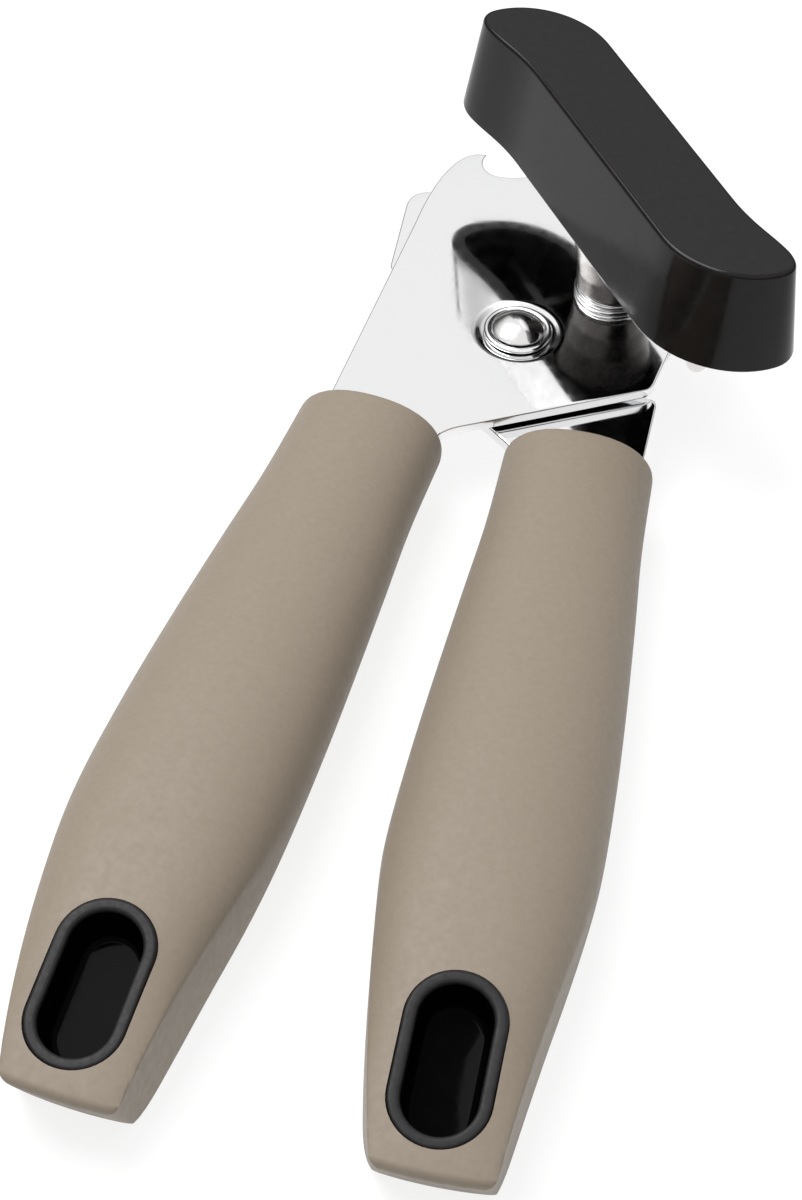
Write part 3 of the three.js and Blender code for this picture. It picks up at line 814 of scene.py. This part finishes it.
# ---------------------------------------------------------------------------------------------
# Pivot
# ---------------------------------------------------------------------------------------------
def pivot():
    low, high = heights_of("pivot_rivet")
    profile = [(0, high), (1.2, high - 0.08), (2.4, high - 0.42), (3.4, high - 0.98), (4.1, high - 1.5)]
    profile += [(4.45, 0.75), (4.1, 0.5), (3.2, 0.5), (3.2, low + 1.45), (4.8, low + 1.45)]
    profile += [(4.3, low + 0.6), (2.6, low + 0.1), (0, low)]
    rivet = lathe("pivot_rivet_head", profile, PIVOT, TURNED, radius=0.6, facets=128)
    stands_for(rivet, "front_lever", "bright_steel", "pivot_rivet")
    ring_profile = [(3.3, 0.0), (5.6, -0.05), (5.75, 0.3), (5.35, 0.72), (4.75, 0.62), (4.5, 0.3), (3.3, 0.3)]
    ring = lathe("pivot_ring", ring_profile, PIVOT, CHROME, radius=0.25, facets=128)
    stands_for(ring, "front_lever", "bright_steel", "pivot_front_washer")
    low, high = heights_of("pivot_back_washer")
    back = washer("pivot_rear_ring", 3.3, 5.75, low, high, PIVOT, STEEL)
    stands_for(back, "rear_lever", "steel", "pivot_back_washer")
    low, high = heights_of("pivot_spacer")
    spacer = washer("pivot_gap_ring", 3.3, 8, low, high, PIVOT, STEEL, radius=0.1)
    stands_for(spacer, "front_lever", "steel", "pivot_spacer")


# ---------------------------------------------------------------------------------------------
# Turn key and drive
# ---------------------------------------------------------------------------------------------
def bezier(p0, p1, p2, p3, steps):
    result = []
    for t in (k / steps for k in range(1, steps + 1)):
        a, b, c, d = (1 - t) ** 3, 3 * t * (1 - t) ** 2, 3 * t * t * (1 - t), t**3
        result.append(Vector(p0) * a + Vector(p1) * b + Vector(p2) * c + Vector(p3) * d)
    return result


def key_outline():
    """A straight bar whose two ends flare to opposite sides, along x."""
    w, l = KEY_HALF_WIDTH, KEY_HALF_LENGTH
    half = [Vector((-l + 15, w)).lerp(Vector((l - 19, w)), k / 24) for k in range(25)]
    half += bezier((l - 19, w), (l - 12, w), (l - 8.5, w + 1.7), (l - 4.4, w + 2.0), 14)
    half += bezier((l - 4.4, w + 2.0), (l - 1.6, w + 2.1), (l, w + 0.9), (l, w - 1.5), 12)
    half += bezier((l, w - 1.5), (l, w - 8.5), (l - 6.5, -w), (l - 15, -w), 22)[:-1]
    return counter_clockwise(half + [-p for p in half])


def key_rows(outline, levels):
    """Rings of the key's outline, each with a height and how far it is grown."""
    rows = []
    for z, growth in levels:
        row = []
        for p in shifted(outline, growth):
            x = p.x * cos(KEY_ANGLE) - p.y * sin(KEY_ANGLE)
            y = p.x * sin(KEY_ANGLE) + p.y * cos(KEY_ANGLE)
            row.append((SPINDLE.x + x, SPINDLE.y + y, z))
        rows.append(row)
    return rows


def key_block(name, width, depth, height, x, z):
    centre = SPINDLE + Vector((x * cos(KEY_ANGLE), x * sin(KEY_ANGLE)))
    return block(name, width, depth, height, centre.x, centre.y, z, turn=KEY_ANGLE, material=GLOSS)


def turn_key():
    outline = key_outline()
    top_edge = 0.75
    roof = KEY_TOP - 2.6

    def draft(z):
        return KEY_DRAFT * (KEY_TOP - z) / (KEY_TOP - KEY_BOTTOM)

    levels = [(KEY_BOTTOM, draft(KEY_BOTTOM) - 0.45), (KEY_BOTTOM + 0.12, draft(KEY_BOTTOM) - 0.12)]
    levels.append((KEY_BOTTOM + 0.45, draft(KEY_BOTTOM + 0.45)))
    levels += [(KEY_BOTTOM + 0.45 + 3.0 * k, draft(KEY_BOTTOM + 0.45 + 3.0 * k)) for k in range(1, 6)]
    for angle in (radians(15 * k) for k in range(7)):
        z = KEY_TOP - top_edge * (1 - sin(angle))
        levels.append((z, draft(KEY_TOP - top_edge) - top_edge * (1 - cos(angle))))
    levels.append((KEY_TOP, -top_edge - 0.35))
    rows = key_rows(outline, levels)
    middle = (SPINDLE.x, SPINDLE.y)
    piece = stacked(
        "turn_key_body",
        rows,
        (*middle, KEY_BOTTOM),
        (*middle, KEY_TOP),
        GLOSS,
        MATTE,
        index=lambda i: 1 if i == len(levels) - 2 else 0,
    )
    hollow_rows = key_rows(outline, [(KEY_BOTTOM - 1, draft(KEY_BOTTOM) - KEY_WALL), (roof, -KEY_WALL)])
    cut(piece, stacked("hollow", hollow_rows, (*middle, KEY_BOTTOM - 1), (*middle, roof), GLOSS))
    hub_profile = [(0, KEY_BOTTOM), (8.2, KEY_BOTTOM), (6.4, roof + 1), (0, roof + 1)]
    joined(piece, lathe("hub", hub_profile, SPINDLE, GLOSS, radius=0.3, facets=64))
    joined(piece, key_block("rib", 2 * KEY_HALF_LENGTH - 6, 1.6, 10, 0, roof - 4))
    for x in (-22, 22):
        joined(piece, key_block("rib", 1.6, 2 * KEY_HALF_WIDTH - 1, 10, x, roof - 4))
    cut(piece, key_block("socket", 7.6, 3.6, 14.5, 0, KEY_BOTTOM + 6))
    mouth = [(0, KEY_BOTTOM - 1), (4.2, KEY_BOTTOM - 1), (4.2, KEY_BOTTOM + 1.4), (0, KEY_BOTTOM + 1.4)]
    cut(piece, lathe("mouth", mouth, SPINDLE, GLOSS, radius=0.0, facets=64))
    return stands_for(piece, "key_drive", "key_plastic", "turn_key")


def drive():
    low, high = heights_of("key_collar")
    profile = [(6.1, low), (6.3, 5.5), (7.0, 9.5), (8.4, high), (7.4, high), (6.0, 9.8), (5.2, 5.6)]
    profile += [(4.3, 3.0), (4.3, low)]
    collar = lathe("key_collar_sleeve", profile, SPINDLE, DARK, radius=0.5, facets=128)
    stands_for(collar, "key_drive", "bright_steel", "key_collar")
    low, high = heights_of("spindle_bush")
    bush_profile = [(4.1, high), (6.3, high), (6.3, 0.05), (5.1, 0.05), (5.1, low), (4.1, low)]
    bush = lathe("spindle_bush_ring", bush_profile, SPINDLE, CHROME, radius=0.3, facets=128)
    stands_for(bush, "front_lever", "bright_steel", "spindle_bush")
    low, high = heights_of("spindle_washer")
    ring = washer("spindle_ring", 4.1, 6.0, low, high, SPINDLE, CHROME, radius=0.35)
    stands_for(ring, "key_drive", "bright_steel", "spindle_washer")
    low, high = heights_of("feed_wheel_washer")
    lower = washer("feed_wheel_ring", 4.1, 6.4, low, high, SPINDLE, STEEL, radius=0.12)
    stands_for(lower, "key_drive", "steel", "feed_wheel_washer")
    low, high = heights_of("drive_spindle")
    foot = FEED_TOP + 0.1
    neck = KEY_BOTTOM + 1.2
    rod = [(0, foot), (4, foot), (4, neck), (0, neck)]
    shank = lathe("drive_spindle_rod", rod, SPINDLE, TURNED, radius=0.3)
    joined(shank, key_block("tongue", 7.2, 3.2, high - neck + 1, 0, (high + neck - 1) / 2))
    joined(shank, key_block("square", 5, 5, foot - FEED_BOTTOM + 1, 0, (foot + FEED_BOTTOM) / 2))
    head = [(0, low + 1.4), (4.4, low + 1.4), (4.1, low + 0.6), (2.6, low + 0.1), (0, low)]
    joined(shank, lathe("head", head, SPINDLE, TURNED, radius=0.3))
    stands_for(shank, "key_drive", "steel", "drive_spindle")


def feed_wheel():
    radius = 7.5
    teeth = 20
    # One tooth: how far round it each point is, and its height over the radius.
    tooth = ((0, 0), (0.09, 0.02), (0.18, 0), (0.42, -1.0), (0.5, -1.1), (0.58, -1.05))
    rows = []
    for inset, z in ((0.35, FEED_BOTTOM), (0, FEED_BOTTOM + 0.35), (0, FEED_TOP - 0.35), (0.35, FEED_TOP)):
        row = []
        for i in range(teeth):
            for turn, rise in tooth:
                r = radius + rise
                angle = (i + turn) * 2 * pi / teeth + KEY_ANGLE
                row.append((SPINDLE.x + (r - inset) * cos(angle), SPINDLE.y + (r - inset) * sin(angle), z))
        rows.append(row)
    piece = stacked(
        "feed_wheel_teeth", rows, (*SPINDLE, FEED_BOTTOM), (*SPINDLE, FEED_TOP), STEEL, sharp=28
    )
    cut(piece, key_block("square", 5.2, 5.2, 10, 0, FEED_TOP - 2))
    soften(piece, 28)
    return stands_for(piece, "key_drive", "steel", "feed_wheel")


# ---------------------------------------------------------------------------------------------
# Cutter
# ---------------------------------------------------------------------------------------------
def cutter():
    edge = 11.0
    profile = [(4.7, BLADE_TOP), (edge - 0.05, BLADE_TOP), (edge, BLADE_TOP - 0.08)]
    profile += [(edge - 2.6, BLADE_BOTTOM), (4.7, BLADE_BOTTOM)]
    wheel = lathe("cutter_wheel_blade", profile, CUTTER, CHROME, radius=0.02, facets=160)
    stands_for(wheel, "cutter", "bright_steel", "cutter_wheel")
    low, high = heights_of("cutter_bush")
    step = BLADE_TOP + 0.1
    profile = [(3.1, high), (6.5, high), (6.5, step), (4.6, step), (4.6, low), (3.1, low)]
    bush = lathe("cutter_flange", profile, CUTTER, STEEL, radius=0.2)
    stands_for(bush, "rear_lever", "steel", "cutter_bush")
    low, high = heights_of("cutter_washer")
    ring = washer("cutter_ring", 3.1, 6.4, low, high, CUTTER, STEEL)
    stands_for(ring, "rear_lever", "steel", "cutter_washer")
    low, high = heights_of("cutter_stud")
    head = low + 1.4
    profile = [(0, high), (3.0, high), (3.0, head), (5.0, head), (4.7, low + 0.6), (3.0, low + 0.1), (0, low)]
    stud = lathe("cutter_rivet", profile, CUTTER, TURNED, radius=0.3)
    stands_for(stud, "rear_lever", "steel", "cutter_stud")


# ---------------------------------------------------------------------------------------------
# Camera, light and floor
# ---------------------------------------------------------------------------------------------
def camera():
    azimuth, elevation, roll = radians(11), radians(48.33), radians(4.41)
    forward = Vector((-sin(azimuth) * cos(elevation), cos(azimuth) * cos(elevation), -sin(elevation)))
    level = Vector((cos(azimuth), sin(azimuth), 0))
    upright = level.cross(forward)
    right = level * cos(roll) + upright * sin(roll)
    up = upright * cos(roll) - level * sin(roll)
    data = bpy.data.cameras.new("camera")
    data.lens = 83.96
    data.sensor_width = 36
    data.shift_x = 0.00245
    data.shift_y = 0.0425
    data.clip_start = 0.01
    data.clip_end = 20
    view = bpy.data.objects.new("camera", data)
    view.matrix_world = Matrix.Translation(ORIGIN + Vector((50.65, -342.26, 307.30)) * MM) @ Matrix(
        (right, up, -forward)
    ).transposed().to_4x4()
    scene.collection.objects.link(view)
    scene.camera = view


def softbox(name, place, size, power, target=(0, -40, 0)):
    data = bpy.data.lights.new(name, "AREA")
    data.shape = "RECTANGLE"
    data.size, data.size_y = size
    data.energy = power
    light = bpy.data.objects.new(name, data)
    light.location = Vector(place)
    aim = ORIGIN + Vector(target) * MM - light.location
    light.rotation_mode = "QUATERNION"
    light.rotation_quaternion = aim.to_track_quat("-Z", "Y")
    scene.collection.objects.link(light)


def studio():
    world = bpy.data.worlds.new("studio")
    world.use_nodes = True
    tree = world.node_tree
    sky = tree.nodes.new("ShaderNodeTexCoord")
    height = tree.nodes.new("ShaderNodeSeparateXYZ")
    glow = tree.nodes.new("ShaderNodeMapRange")
    glow.interpolation_type = "SMOOTHSTEP"
    for socket, number in (("From Min", 0.2), ("From Max", 0.66), ("To Min", 0.08), ("To Max", 0.97)):
        glow.inputs[socket].default_value = number
    tree.links.new(sky.outputs["Generated"], height.inputs["Vector"])
    tree.links.new(height.outputs["Z"], glow.inputs["Value"])
    tree.links.new(glow.outputs["Result"], tree.nodes["Background"].inputs["Strength"])
    tree.nodes["Background"].inputs["Color"].default_value = (1, 1, 1, 1)
    scene.world = world
    softbox("key_light", (-0.35, 0.1, 0.8), (0.6, 0.6), 7.5)
    scene.view_settings.view_transform = "Standard"


def floor():
    size = 3.0
    level = ORIGIN.z + FLOOR * MM
    mesh = bpy.data.meshes.new("floor")
    corners = [(-size, -size, level), (size, -size, level), (size, size, level), (-size, size, level)]
    mesh.from_pydata(corners, [], [(0, 1, 2, 3)])
    surface = Surface("pale_floor", (0.2, 0.2, 0.2), 0.8)
    surface.shader.inputs["Emission Color"].default_value = (1, 1, 1, 1)
    surface.shader.inputs["Emission Strength"].default_value = 0.8
    mesh.materials.append(surface.material)
    plane = bpy.data.objects.new("floor", mesh)
    scene.collection.objects.link(plane)


camera()
studio()
floor()
front_plate()
rear_plate()
rim_pin()
pivot()
turn_key()
drive()
feed_wheel()
cutter()
for side, label, body, plate_top in (
    (-1, "left", "front_lever", FRONT_TOP),
    (1, "right", "rear_lever", REAR_TOP),
):
    grip(side, label, body, plate_top)
    liner(side, label, body)
    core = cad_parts[label + "_handle_core"]
    core.data.materials.clear()
    core.data.materials.append(MATTE)

bpy.context.view_layer.update()
